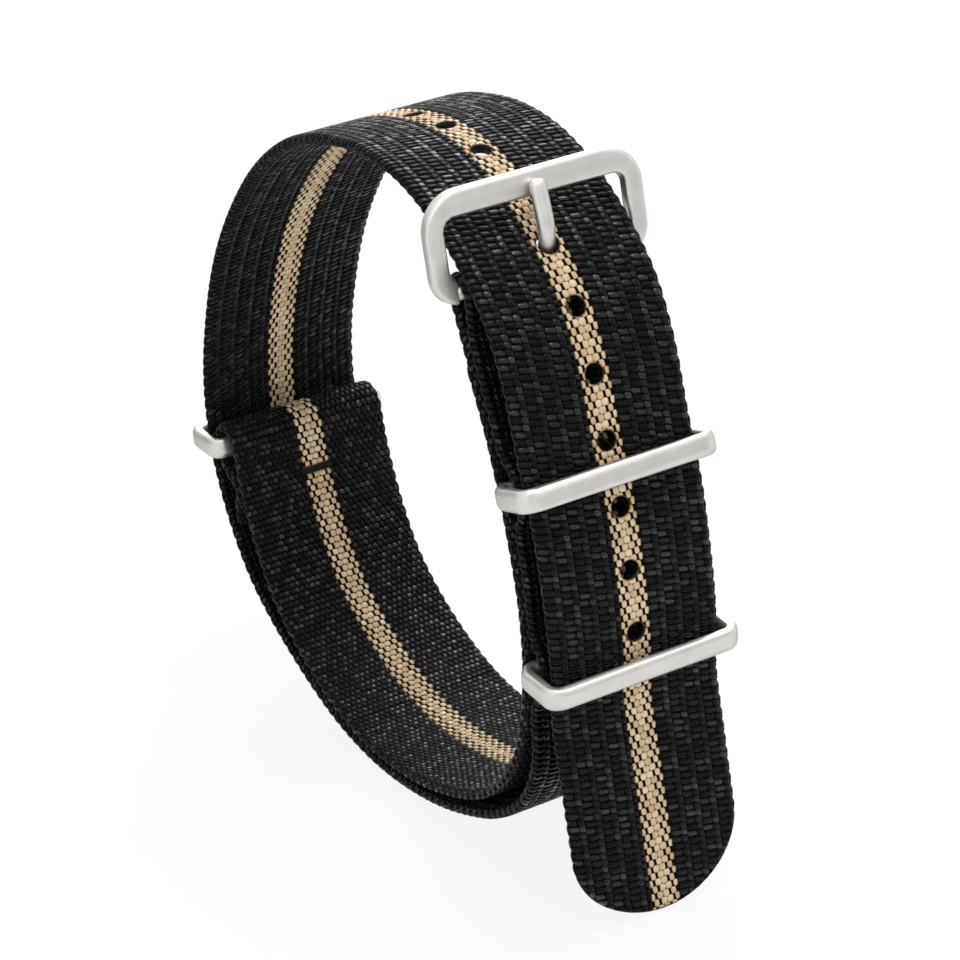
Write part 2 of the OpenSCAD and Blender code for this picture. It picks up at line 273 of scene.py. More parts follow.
def knuckle(run, across, size, plain):
    """Height of the knuckles, from 0 to 1: bricks in the stripe, slanting ribs or small bricks beside it.

    Steps, half widths and half lengths are shares of a knuckle's pitch.
    """
    off = np.abs(across)
    black = off > size.stripe_half
    unit = (across - size.stripe_half) / size.rib
    part = unit - np.floor(unit)
    in_wide = part < size.wide
    half_part = np.where(in_wide, part / size.wide, 1 + (part - size.wide) / (1 - size.wide))
    beside = across / size.small_bead if plain else half_part - 0.56
    place = np.where(black, beside, across / size.bead - 0.25)
    step = np.where(black & (not plain), 0.12, 0.5)
    along = run / size.row + np.where(black & (not plain), (part - 0.5) * size.slant, 0)
    half_width = np.where(black, 0.44 if plain else 0.49, np.where(off < 0.5 * size.bead, 0.48, 0.36))
    half_length = np.where(black, 0.48 if plain else np.where(in_wide, 0.41, 0.5), 0.5 if plain else 0.54)
    height = np.zeros(run.shape)
    first = np.floor(along)
    for row in (first, first + 1):
        side = place + step * np.mod(row, 2)
        side = np.abs(side - np.round(side)) / half_width
        reach = np.abs(along - row) / half_length
        height = np.maximum(height, np.sqrt(np.clip(1 - side**4 - reach**2.6, 0, 1)))
    return height


def tip_half_width(run, depth):
    """Half width of the tail at a distance from its tip."""
    u = np.clip(1 - run / depth, 0, 1)
    return HALF_WIDTH * np.sqrt(1 - u**2)


class Band:
    """A length of webbing as a closed woven mesh laid along a route."""

    across_step = 0.22 * MM
    along_step = 0.15 * MM
    tip_steps = np.array([0.03, 0.08]) * MM
    rim_faces = 6
    rim_stretch = 1.4
    hole_reach = 0.112 * MM
    opening_half = 1.2 * MM
    melted_rim = 0.3 * MM
    melted_edge = 0.4 * MM
    melted_height = 0.45

    def __init__(self, name, route, start, end, shift, plain=False):
        self.name, self.route = name, route
        self.start, self.end = start, end
        self.shift, self.plain = shift, plain
        self.holes, self.shaded, self.welds = [], [], []
        self.tip = self.opening = None

    def build(self):
        size = sizes()
        self.flat = int(round(2 * (HALF_WIDTH - size.selvage) / self.across_step))
        self.around = 2 * (self.flat + self.rim_faces)
        first = math.ceil(self.start / self.along_step + 0.2)
        last = math.ceil(self.end / self.along_step - 0.2)
        steps = [[self.start], np.arange(first, last) * self.along_step, [self.end]]
        if self.tip is not None:
            steps.insert(1, self.start + self.tip_steps)
        self.ring_run = np.concatenate(steps)
        rings = len(self.ring_run) - 1
        grid = bpy.ops.mesh.primitive_grid_add
        piece = begin(self.name, grid, x_subdivisions=rings, y_subdivisions=self.around, size=1)
        mesh = piece.data
        co = np.empty(len(mesh.vertices) * 3)
        mesh.vertices.foreach_get("co", co)
        co = co.reshape(-1, 3)
        i = np.round((co[:, 0] + 0.5) * rings).astype(int)
        j = np.round((co[:, 1] + 0.5) * self.around).astype(int)
        run = self.ring_run[i]
        across, up, weave = self.section(j)
        if self.tip is not None:
            ratio = tip_half_width(run - self.tip + 0.01 * MM, size.tip) / HALF_WIDTH
            across, weave = across * ratio, weave * ratio
        state = self.cut(run, across, up)
        self.write_maps(mesh, i, j, self.weave_run(run, up), weave)
        # The attribute holds the melting up to 1, and above it the painted shade under a hole.
        heat = (self.melted(run, across) + 2 * self.shade(run, across)).astype(np.float32)
        mesh.attributes.new("HeatAndShade", "FLOAT", "POINT").data.foreach_set("value", heat)
        co[:] = self.lay(run, across, up, weave)
        mesh.vertices.foreach_set("co", co.ravel())
        self.close(mesh, i, j, state)
        return piece

    def section(self, j):
        """Across, up and weave coordinate round the section."""
        size = sizes()
        flat, rim = self.flat, self.rim_faces
        half = HALF_WIDTH - size.selvage
        j = np.mod(j, self.around)
        lower = j > flat + rim / 2
        k = np.where(j > 2 * flat + 1.5 * rim, j - self.around, np.where(lower, 2 * flat + rim - j, j))
        turn = np.where(k > flat, k - flat, np.where(k < 0, -k, 0)) / rim * math.pi
        level = np.clip(k, 0, flat) / flat * 2 - 1
        outward = np.where(k > flat, 1, np.where(k < 0, -1, 0))
        across = level * half + outward * size.selvage * np.sin(turn)
        weave = level * half + outward * self.rim_stretch * size.selvage * np.sin(turn)
        up = np.cos(turn) * np.where(lower & (j <= 2 * flat + 1.5 * rim), -1, 1)
        return across, up, weave

    def weave_run(self, run, up):
        """Running lengths in the weave, whose under side is a row out of step with its face."""
        return run + np.where(up < -0.01, sizes().row, 0.0)

    def shade(self, run, across):
        """Painted shade where another layer's hole lies over the face, from 0 to 1."""
        shade = np.zeros(run.shape)
        for place in self.shaded:
            shade = np.maximum(shade, smooth(2.6 - np.hypot(run - place, across) / (0.7 * MM)))
        return shade

    def melted(self, run, across):
        """Where heat has flattened the weave, from 0 to 1."""
        size = sizes()
        flat = self.press(run, across)
        for place, radius in self.holes:
            gap = np.hypot(run - place, across) - radius
            flat = np.maximum(flat, smooth(1 - gap / self.melted_rim))
        if self.tip is not None:
            gap = tip_half_width(run - self.tip, size.tip) - np.abs(across)
            gap = np.minimum(gap, 0.8 * (run - self.tip))
            edge = smooth(1 - gap / self.melted_edge)
            flat = np.maximum(flat, np.where(run < self.tip + size.tip, edge, 0))
        return flat

    def press(self, run, across):
        """How far the welds press the face, from 0 to 1."""
        pressed = np.zeros(run.shape)
        for place, half_along, half_across in self.welds:
            near = smooth((half_along + 0.25 * MM - np.abs(run - place)) / (0.22 * MM))
            pressed = np.maximum(pressed, near * smooth((half_across - np.abs(across)) / (0.4 * MM)))
        return pressed

    def lay(self, run, across, up, weave):
        """Places in space of points of the section at running lengths."""
        size = sizes()
        height = knuckle(self.weave_run(run, up), weave, size, self.plain)
        melted = self.melted(run, across)
        height = height * (1 - melted) + self.melted_height * melted
        rim = np.sqrt(np.clip(1 - up**2, 0, 1))
        out = up * (size.half_core + size.relief * height)
        out = out + np.where(up < 0, 1, 0) * size.weld_press * self.press(run, across)
        phase = np.where(across > 0, 0.0, 0.5)
        loops = np.abs(np.cos(math.pi * (run / (2 * size.row) + phase))) ** 0.7
        tip_fade = 1 if self.tip is None else smooth((run - self.tip - 0.7 * size.tip) / (0.3 * size.tip))
        side = across + np.sign(across) * rim * tip_fade * size.scallop * (loops - 0.75)
        place = self.route.at(run) + self.route.normal(run) * out[:, None]
        drift = self.shift + 0.06 * MM * np.sin(run / (9 * MM)) + 0.04 * MM * np.sin(run / (3.7 * MM))
        return np.stack([place[:, 0], side + drift, place[:, 1]], -1)

    def cut(self, run, across, up):
        """Marks vertices inside an opening with -1, on its edge with 0 and outside with 1."""
        state = np.ones(len(run), int)
        flat_side = np.abs(up) > 0.99
        for place, radius in self.holes:
            gap = np.hypot(run - place, across)
            edge = flat_side & (np.abs(gap - radius) < self.hole_reach)
            state[flat_side & (gap < radius)] = -1
            state[edge] = 0
            run[edge] = place + (run[edge] - place) / gap[edge] * radius
            across[edge] *= radius / gap[edge]
        if self.opening is not None:
            inside = np.abs(across) < self.opening_half
            state[flat_side & inside & self.opening(self.route.at(run))] = -1
        return state

    def write_maps(self, mesh, i, j, run, weave):
        """The weave's own coordinates in metres, and a map that unrolls the band in strips."""
        corner = np.empty(len(mesh.loops), np.int32)
        mesh.loops.foreach_get("vertex_index", corner)
        self.write_map(mesh, "Weave", run[corner], weave[corner])
        rings = i.max()
        strips = max(1, round(math.sqrt((self.end - self.start) / (4.1 * HALF_WIDTH))))
        ring, column = i[corner].astype(float), j[corner].astype(float)
        lowest = np.repeat(ring.reshape(-1, 4).min(1), 4)
        strip = np.minimum(np.floor(lowest * strips / rings), strips - 1)
        u = (strip + 0.01 + 0.98 * column / self.around) / strips
        v = 0.03 + 0.97 * (0.001 + 0.998 * (ring * strips / rings - strip)) / (1 + strips / rings)
        self.write_map(mesh, "OFBake", u, v)

    @staticmethod
    def write_map(mesh, name, u, v):
        pairs = np.stack([u, v], -1).astype(np.float32)
        mesh.uv_layers.new(name=name).uv.foreach_set("vector", pairs.ravel())

    def close(self, mesh, i, j, state):
        """Joins the seam, cuts the openings through, and closes the ends."""
        work = bmesh.new()
        work.from_mesh(mesh)
        work.verts.ensure_lookup_table()
        maps = [work.loops.layers.uv[name] for name in ("Weave", "OFBake")]
        by_place = {(int(a), int(b)): v for a, b, v in zip(i, j, work.verts)}
        partner = {
            v: by_place[(ring, 2 * self.flat + self.rim_faces - column)]
            for (ring, column), v in by_place.items()
            if column <= self.flat
        }
        sealed = {e for e in work.edges if len(e.link_faces) < 2}
        doomed = []
        touched = [f for v in work.verts if state[v.index] < 0 for f in v.link_faces]
        for face in dict.fromkeys(touched):
            doomed.append(face)
            rest = [loop for loop in face.loops if state[loop.vert.index] >= 0]
            if len(rest) == 3 and sum(state[loop.vert.index] for loop in rest) == 1:
                left = work.faces.new([loop.vert for loop in rest])
                for new, old in zip(left.loops, rest):
                    for layer in maps:
                        new[layer].uv = old[layer].uv
        bmesh.ops.delete(work, geom=doomed, context="FACES_ONLY")
        flat_in_hole = [
            f for f in work.faces if len(f.verts) < 5 and all(state[v.index] == 0 for v in f.verts)
        ]
        bmesh.ops.delete(work, geom=flat_in_hole, context="FACES_ONLY")
        rims = [e for e in work.edges if len(e.link_faces) == 1 and e not in sealed]
        rims = [e.verts[:] for e in rims if all(v in partner for v in e.verts)]
        for n, (a, b) in enumerate(rims):
            wall = work.faces.new([a, b, partner[b], partner[a]])
            self.mark_cut(wall, maps, (n + 0.5) / len(rims), 0.4 / len(rims))
        bmesh.ops.delete(work, geom=[v for v in work.verts if not v.link_faces], context="VERTS")
        bmesh.ops.remove_doubles(work, verts=work.verts, dist=2e-7)
        border = [e for e in work.edges if len(e.link_faces) == 1]
        made = bmesh.ops.holes_fill(work, edges=border, sides=0)["faces"]
        for n, face in enumerate(made):
            self.mark_cut(face, maps, 0.1 + 0.8 * n / len(made), 0.0)
            for edge in face.edges:
                edge.smooth = False
        bmesh.ops.recalc_face_normals(work, faces=work.faces)
        for face in work.faces:
            face.smooth = True
        work.to_mesh(mesh)
        work.free()

    def mark_cut(self, face, maps, place, width):
        """Gives a cut's face the melted material and a spot on each map."""
        face.material_index = 1
        for n, loop in enumerate(face.loops):
            loop[maps[0]].uv = (0, 0.03)
            around = 2 * math.pi * n / len(face.loops)
            reach = width if width else 0.008
            loop[maps[1]].uv = (place + reach * math.cos(around), 0.012 + 0.01 * math.sin(around))


# Materials.


class Net:
    """A short way to write node trees."""

    def __init__(self, tree):
        self.tree = tree

    def add(self, kind, **settings):
        node = self.tree.nodes.new(kind)
        for name, value in settings.items():
            setattr(node, name, value)
        return node

    def put(self, socket, value):
        """Links an output to a socket, or sets a constant on it."""
        if isinstance(value, bpy.types.NodeSocket):
            self.tree.links.new(value, socket)
        else:
            socket.default_value = value

    def fill(self, node, **values):
        """Puts values on a node's inputs, with an underscore for a space, and returns its outputs."""
        for name, value in values.items():
            self.put(node.inputs[name.replace("_", " ")], value)
        return node.outputs

    def math(self, operation, *values, clamp=False):
        node = self.add("ShaderNodeMath", operation=operation, use_clamp=clamp)
        for socket, value in zip(node.inputs, values):
            self.put(socket, value)
        return node.outputs[0]

    def mix(self, factor, a, b, kind="RGBA"):
        return self.fill(self.add("ShaderNodeMix", data_type=kind), Factor=factor, A=a, B=b)["Result"]

    def blend(self, factor, a, b):
        return self.mix(factor, a, b, "FLOAT")

    def remap(self, value, low, high, to_low=0.0, to_high=1.0, kind="SMOOTHSTEP"):
        node = self.add("ShaderNodeMapRange", interpolation_type=kind)
        limits = {"From_Min": low, "From_Max": high, "To_Min": to_low, "To_Max": to_high}
        return self.fill(node, Value=value, **limits)["Result"]

    def noise(self, vector, scale, detail):
        return self.fill(self.add("ShaderNodeTexNoise"), Vector=vector, Scale=scale, Detail=detail)["Fac"]

    def bump(self, height, metres, strength=1.0):
        return self.fill(self.add("ShaderNodeBump"), Height=height, Distance=metres, Strength=strength)[0]

    def seen_directly(self):
        """1 for a ray that shows the white surroundings themselves, 0 for one that only brings light."""
        path = self.add("ShaderNodeLightPath").outputs
        seen = self.math("MAXIMUM", path["Is Camera Ray"], path["Is Glossy Ray"])
        return self.math("MAXIMUM", seen, path["Is Transmission Ray"])


def new_group(name, inputs, outputs):
    """An empty group. Inputs maps labels to defaults, with None for a vector. Each output is a number."""
    group = bpy.data.node_groups.new(name, "ShaderNodeTree")
    for label, default in inputs.items():
        kind = "NodeSocketVector" if default is None else "NodeSocketFloat"
        socket = group.interface.new_socket(label, in_out="INPUT", socket_type=kind)
        if default is not None:
            socket.default_value = default
    for label in outputs:
        group.interface.new_socket(label, in_out="OUTPUT", socket_type="NodeSocketFloat")
    net = Net(group)
    return group, net, net.add("NodeGroupInput").outputs, net.add("NodeGroupOutput")


def bead_group():
    """One row of knuckles: the height of the nearest, two numbers that are its own, and its index."""
    labels = ("Along", "Across", "Step", "Row", "Half Width", "Half Length")
    results = ("Height", "Random", "Hue", "Index")
    group, net, given, out = new_group("Row of knuckles", dict.fromkeys(labels, 0.0), results)
    shift = net.math("MULTIPLY", net.math("FLOORED_MODULO", given["Row"], 2.0), given["Step"])
    side = net.math("ADD", given["Across"], shift)
    index = net.math("ROUND", side)
    side = net.math("SUBTRACT", side, index)
    along = net.math("SUBTRACT", given["Along"], given["Row"])
    side = net.math("MULTIPLY_ADD", along, 0.07, side)
    pair = net.fill(net.add("ShaderNodeCombineXYZ"), X=index, Y=given["Row"])
    speck = net.fill(net.add("ShaderNodeTexWhiteNoise", noise_dimensions="2D"), Vector=pair["Vector"])
    split = net.fill(net.add("ShaderNodeSeparateColor"), Color=speck["Color"])
    wide = net.math("MULTIPLY_ADD", speck["Value"], 0.03, given["Half Width"])
    wide_part = net.math("POWER", net.math("DIVIDE", net.math("ABSOLUTE", side), wide), 4.0)
    long_part = net.math("DIVIDE", net.math("ABSOLUTE", along), given["Half Length"])
    long_part = net.math("POWER", long_part, 2.6)
    inside = net.math("SUBTRACT", 1.0, net.math("ADD", wide_part, long_part), clamp=True)
    net.fill(
        out,
        Height=net.math("SQRT", inside),
        Random=speck["Value"],
        Hue=split["Green"],
        Index=net.math("SUBTRACT", index, shift),
    )
    return group


def weave_group():
    """The weave's knuckles: height, two numbers for each, and masks of the stripe and of the narrow ones."""
    # The numbers are near those of knuckle(), so that the colours lie on the mesh's knuckles.
    labels = ("Bead", "Small Bead", "Row", "Stripe", "Rib", "Wide", "Slant")
    inputs = {"Weave": None, "Plain": 0.0, **dict.fromkeys(labels, 0.001)}
    results = ("Height", "Random", "Hue", "Stripe", "Narrow")
    group, net, given, out = new_group("Knuckle weave", inputs, results)
    plain, wide = given["Plain"], given["Wide"]
    split = net.fill(net.add("ShaderNodeSeparateXYZ"), Vector=given["Weave"])
    wander = net.math("MULTIPLY_ADD", net.noise(given["Weave"], 330.0, 1.0), 0.00016, -0.00008)
    y = net.math("ADD", split["Y"], wander)
    off = net.math("ABSOLUTE", y)
    black = net.math("GREATER_THAN", off, given["Stripe"])
    unit = net.math("DIVIDE", net.math("SUBTRACT", y, given["Stripe"]), given["Rib"])
    part = net.math("FRACT", unit)
    narrow = net.math("GREATER_THAN", part, wide)
    in_wide = net.math("DIVIDE", part, wide)
    in_narrow = net.math("DIVIDE", net.math("SUBTRACT", part, wide), net.math("SUBTRACT", 1.0, wide))
    rib_place = net.math("ADD", net.blend(narrow, in_wide, net.math("ADD", in_narrow, 1.0)), -0.56)
    rib_place = net.math("MULTIPLY_ADD", net.math("FLOOR", unit), 2.0, rib_place)
    rib_place = net.blend(plain, rib_place, net.math("DIVIDE", y, given["Small Bead"]))
    bead_place = net.math("ADD", net.math("DIVIDE", y, given["Bead"]), -0.25)
    slope = net.math("MULTIPLY", net.math("MULTIPLY", net.math("ADD", part, -0.5), given["Slant"]), black)
    along = net.math("DIVIDE", net.math("ADD", split["X"], wander), given["Row"])
    along = net.math("ADD", along, net.blend(plain, slope, 0.0))
    open_slot = net.remap(net.math("DIVIDE", off, given["Bead"]), 0.44, 0.56, 0.5, 0.33)
    rib_length = net.blend(plain, net.blend(narrow, 0.41, 0.5), 0.48)
    shape = {
        "Along": along,
        "Across": net.blend(black, bead_place, rib_place),
        "Step": net.blend(black, 0.5, net.blend(plain, 0.12, 0.5)),
        "Half_Width": net.blend(black, open_slot, net.blend(plain, 0.48, 0.43)),
        "Half_Length": net.blend(black, net.blend(plain, 0.54, 0.5), rib_length),
    }
    row = net.math("FLOOR", along)
    near = group_node(net, bead_group, Row=row, **shape)
    far = group_node(net, bead_group, Row=net.math("ADD", row, 1.0), **shape)
    pick = net.math("GREATER_THAN", far["Height"], near["Height"])
    height, random, hue, index = [
        net.blend(pick, near[label], far[label]) for label in ("Height", "Random", "Hue", "Index")
    ]
    place = net.math("ABSOLUTE", net.math("ADD", index, 0.25))
    edge = net.remap(net.math("DIVIDE", off, given["Stripe"]), 0.86, 1.0, 1.0, 0.2)
    net.fill(
        out,
        Height=net.blend(black, net.math("MULTIPLY", height, edge), height),
        Random=random,
        Hue=hue,
        Stripe=net.math("MULTIPLY", net.math("LESS_THAN", place, 2.0), net.math("SUBTRACT", 1.0, black)),
        Narrow=net.blend(plain, narrow, 0.5),
    )
    return group


def yarn_group():
    """Fine filaments along the yarn, as a height and a tint."""
    group, net, given, out = new_group("Yarn filaments", {"Weave": None}, ("Height", "Tint"))
    stretch = net.add("ShaderNodeVectorMath", operation="MULTIPLY")
    net.put(stretch.inputs[0], given["Weave"])
    net.put(stretch.inputs[1], (0.22, 1.0, 1.0))
    fine = net.noise(stretch.outputs[0], 9000.0, 1.5)
    broad = net.noise(given["Weave"], 180.0, 2.0)
    tint = net.math("ADD", net.math("MULTIPLY", fine, 0.6), net.math("MULTIPLY", broad, 0.4))
    net.fill(out, Height=fine, Tint=tint)
    return group


GROUPS = {}


def group_node(net, maker, **values):
    """Places a group, made once, with its own values."""
    if maker not in GROUPS:
        GROUPS[maker] = maker()
    return net.fill(net.add("ShaderNodeGroup", node_tree=GROUPS[maker]), **values)


def new_material(name):
    made = bpy.data.materials.new(name)
    made.use_nodes = True
    return made, Net(made.node_tree), made.node_tree.nodes["Principled BSDF"]


def shades(paint, *factors):
    """A colour made darker or lighter, once for each factor."""
    return [(*[channel * factor for channel in paint], 1) for factor in factors]


def webbing_material(name, plain):
    """Black nylon weave with a tan centre stripe, scorched where heat has cut it."""
    size, paint = sizes(), colours()
    # Gap colours: painted shade in the grooves, near black beside the stripe; in the stripe, the real black weft
    # that shows between the tan knuckles, also in shade.
    groove_shade_black, gap_tan = (0.001, 0.001, 0.0011, 1), (0.004, 0.0025, 0.002, 1)
    scorched_black, scorched_tan = (0.004, 0.0035, 0.003, 1), (0.13, 0.055, 0.02, 1)
    # Colour of the painted shade under another layer's hole.
    painted_shade = (0.003, 0.003, 0.003, 1)
    made, net, shader = new_material(name)
    place = net.add("ShaderNodeUVMap", uv_map="Weave").outputs[0]
    heat = net.add("ShaderNodeAttribute", attribute_name="HeatAndShade").outputs["Fac"]
    weave = group_node(
        net,
        weave_group,
        Weave=place,
        Plain=plain,
        Bead=size.bead,
        Row=size.row,
        Small_Bead=size.small_bead,
        Stripe=size.stripe_half,
        Rib=size.rib,
        Wide=size.wide,
        Slant=size.slant,
    )
    height, random, in_stripe = weave["Height"], weave["Random"], weave["Stripe"]
    yarn = group_node(net, yarn_group, Weave=place)
    # The rim colour is painted shade for the flanks of the stripe's knuckles; it also darkens some yarn at random.
    rim = (*paint.tan_rim_shade, 1)
    peach = net.math("MULTIPLY", net.math("GREATER_THAN", weave["Hue"], 0.7), 0.5)
    tan = net.mix(random, (*paint.tan_dark, 1), (*paint.tan_light, 1))
    tan = net.mix(peach, tan, (*paint.tan_peach, 1))
    tan = net.mix(net.remap(yarn["Tint"], 0.25, 0.6), net.mix(0.35, tan, rim), tan)
    # Painted shade: the tan knuckles darken to the rim colour toward their flanks.
    tan = net.mix(net.remap(height, 0.15, 0.7), rim, tan)
    # Painted shade: the black knuckles darken toward their flanks; at their tops the tone differs at random
    # between dark and bright.
    dark, bright = shades(paint.black, 0.6, 1.6)
    tone = net.math("MULTIPLY_ADD", random, 0.6, net.math("MULTIPLY", weave["Narrow"], 0.4))
    black = net.mix(net.remap(height, 0.2, 0.8), dark, net.mix(tone, dark, bright))
    # Painted shade in the gaps, mixed in where the knuckles are low.
    gap = net.mix(in_stripe, groove_shade_black, gap_tan)
    colour = net.mix(net.remap(height, 0.05, 0.32), gap, net.mix(in_stripe, black, tan))
    scorched = net.mix(in_stripe, scorched_black, scorched_tan)
    colour = net.mix(net.remap(heat, 0.35, 0.95, 0.0, 0.85), colour, scorched)
    # Painted shade: under another layer's hole the yarn is painted near black.
    colour = net.mix(net.remap(heat, 1.1, 1.7), colour, painted_shade)
    raised = net.math("MULTIPLY_ADD", yarn["Height"], 0.12, height)
    raised = net.math("MULTIPLY", raised, net.remap(heat, 0.0, 1.0, 1.0, 0.25))
    strength = net.math("MULTIPLY_ADD", net.math("POWER", random, 3.0), 0.9, 0.14)
    shine = net.remap(height, 0.45, 0.95, 0.0, strength)
    normal = net.bump(raised, 0.00015)
    net.fill(
        shader,
        Base_Color=colour,
        Roughness=net.remap(yarn["Tint"], 0.2, 0.8, 0.35, 0.55),
        Specular_IOR_Level=0.03,
        Coat_Weight=net.math("MULTIPLY", shine, net.remap(heat, 0.2, 0.9, 1.0, 0.3)),
        Coat_Roughness=0.15,
        Sheen_Weight=0.2,
        Sheen_Roughness=0.2,
        Normal=normal,
        Coat_Normal=normal,
    )
    return made


def melted_material(name):
    """Nylon that heat has run together: dark, a little glossy, with small pits."""
    made, net, shader = new_material(name)
    lumps = net.noise(net.add("ShaderNodeTexCoord").outputs["Object"], 1600.0, 3.0)
    net.fill(
        shader,
        Base_Color=net.mix(net.remap(lumps, 0.3, 0.7), (0.003, 0.003, 0.003, 1), (0.009, 0.0085, 0.008, 1)),
        Roughness=net.remap(lumps, 0.3, 0.8, 0.4, 0.6),
        Specular_IOR_Level=0.15,
        Normal=net.bump(lumps, 0.00008),
    )
    return made


def steel_material(name):
    """Satin stainless with a fine brushed grain and slight cloudiness."""
    made, net, shader = new_material(name)
    place = net.add("ShaderNodeTexCoord").outputs["Object"]
    drawn = net.fill(net.add("ShaderNodeMapping"), Vector=place, Scale=(1.0, 0.04, 1.0))
    grain = net.noise(drawn["Vector"], 14000.0, 2.0)
    cloud = net.noise(place, 420.0, 3.0)
    clouded, clear = shades(colours().steel, 0.93, 1.0)
    net.fill(
        shader,
        Base_Color=net.mix(net.remap(cloud, 0.3, 0.7), clouded, clear),
        Roughness=net.math("ADD", net.remap(grain, 0.3, 0.7, 0.36, 0.44), net.math("MULTIPLY", cloud, 0.05)),
        Metallic=1.0,
        Specular_Tint=(0.6, 0.59, 0.57, 1),
        Normal=net.bump(grain, 0.00001, 0.35),
    )
    return made


MATERIALS = {}


def material(name, maker, *values):
    """A material, made once."""
    if name not in MATERIALS:
        MATERIALS[name] = maker(name, *values)
    return MATERIALS[name]


# Modelling helpers.


def deselect():
    if bpy.context.mode != "OBJECT":
        bpy.ops.object.mode_set(mode="OBJECT")
    bpy.ops.object.select_all(action="DESELECT")


def only(piece):
    deselect()
    piece.select_set(True)
    bpy.context.view_layer.objects.active = piece


def begin(name, primitive, **settings):
    """Adds a primitive with nothing else selected, and names it."""
    deselect()
    primitive(**settings)
    piece = bpy.context.object
    piece.name = piece.data.name = name
    return piece


def settle(piece):
    """Puts a piece's place, turn and scale into its mesh."""
    only(piece)
    bpy.ops.object.transform_apply(location=True, rotation=True, scale=True)


def edit_all(piece, action, **settings):
    """Runs an action of edit mode on the whole of a piece."""
    only(piece)
    bpy.ops.object.mode_set(mode="EDIT")
    bpy.ops.mesh.select_all(action="SELECT")
    action(**settings)
    bpy.ops.object.mode_set(mode="OBJECT")


def apply_modifiers(piece):
    only(piece)
    for modifier in list(piece.modifiers):
        bpy.ops.object.modifier_apply(modifier=modifier.name)


def rounded_block(name, low, high, high_x_corner=0, low_x_corner=0):
    """A block between two corners. Its edges along Z are rounded by the radius given for their side in X."""
    low, high = Vector(low), Vector(high)
    block = begin(name, bpy.ops.mesh.primitive_cube_add, size=1, location=(low + high) / 2)
    block.scale = high - low
    settle(block)
    for x, radius in ((high.x, high_x_corner), (low.x, low_x_corner)):
        for y in (high.y, low.y) if radius else ():
            bpy.ops.object.mode_set(mode="EDIT")
            bpy.ops.mesh.select_all(action="DESELECT")
            bpy.ops.object.mode_set(mode="OBJECT")
            for edge in block.data.edges:
                ends = [block.data.vertices[v].co.xy for v in edge.vertices]
                edge.select = all((end - Vector((x, y))).length < 1e-6 for end in ends)
            bpy.ops.object.mode_set(mode="EDIT")
            bpy.ops.mesh.select_mode(type="EDGE")
            bpy.ops.mesh.bevel(offset=radius, segments=10, affect="EDGES")
            bpy.ops.object.mode_set(mode="OBJECT")
    return block


def subtract(piece, cutter):
    """Cuts one block out of another and removes the cutter."""
    cut = piece.modifiers.new("cut", "BOOLEAN")
    cut.operation = "DIFFERENCE"
    cut.solver = "EXACT"
    cut.object = cutter
    apply_modifiers(piece)
    bpy.data.objects.remove(cutter)


def round_edges(piece, width, segments):
    bevel = piece.modifiers.new("edges", "BEVEL")
    bevel.width = width
    bevel.segments = segments
    bevel.limit_method = "ANGLE"
    bevel.angle_limit = math.radians(40)
    bevel.harden_normals = True
    apply_modifiers(piece)
    only(piece)
    bpy.ops.object.shade_smooth()


def points_of(node):
    return np.array([v.co for v in frame["nodes"][node].data.vertices])


def centre_of(node):
    """The middle of a node's box."""
    low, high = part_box(node)
    return (low + high) / 2


def finish_piece(piece, body, slot, node, *materials):
    for made in materials:
        piece.data.materials.append(made)
    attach(piece, body)
    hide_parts(node)


def finish_steel(piece, body, node):
    finish_piece(piece, body, "steel", node, material("Satin stainless", steel_material))


def finish_webbing(piece, node, plain=False):
    kind = ("Plain woven nylon", webbing_material, 1.0) if plain else ("Woven nylon", webbing_material, 0.0)
    materials = material(*kind), material("Melted nylon", melted_material)
    finish_piece(piece, WEBBING_BODY, "webbing", node, *materials)


# Where the pieces lie along the webbing.


class Routes:
    """The two middle lines and where the pieces meet them, worked out once."""

    long = None
    short = None
    holes = ()
    tail_start = 0.0

    @classmethod
    def read(cls):
        if cls.long is not None:
            return
        size = sizes()
        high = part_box("long_strap")[1]
        cls.long = route_of("long_strap", (high.x, 0))
        cls.short = route_of("short_strap", (high.x, high.z))
        cls.tail_start = -size.tip
        in_hole = PIVOT + STEM * TONGUE_IN_HOLE
        in_use = cls.long.nearest((in_hole.x, in_hole.z), 2.0 * MM)[0]
        radius = [size.hole_radius] * HOLE_COUNT
        radius[HOLE_IN_USE] = size.worn_radius
        cls.holes = [(in_use + (k - HOLE_IN_USE) * size.hole_pitch, radius[k]) for k in range(HOLE_COUNT)]

    @classmethod
    def groove(cls, run):
        """The nearest groove between two rows of knuckles."""
        row = sizes().row
        return (math.floor(run / row) + 0.5) * row

    @classmethod
    def under_holes(cls, route, start, end):
        """Where a layer lies just under one of the tail's holes, and gets painted shade."""
        under, apart = 3.2 * MM, 5 * MM
        found = []
        for hole, _ in cls.holes:
            place = cls.long.at(np.array([hole]))[0]
            for run in route.nearest(place, under):
                if start - MM < run < end + MM and not (route is cls.long and abs(run - hole) < apart):
                    found.append(run)
        return found

    @classmethod
    def passes(cls, node, route, within=8 * MM):
        """Running lengths at which a route passes the middle of a node."""
        centre = centre_of(node)
        return route.nearest((centre.x, centre.z), within)


def welds_on(route, start, end):
    """Welds that press a stretch of a route: place, half width and half length of each."""
    half_width, half_length = 0.4 * MM, sizes().weld_half
    places = [place for n in WELDS for place in Routes.passes(f"weld_{n}", route, MM)]
    return [(place, half_width, half_length) for place in places if start - MM < place < end + MM]


# The pieces.


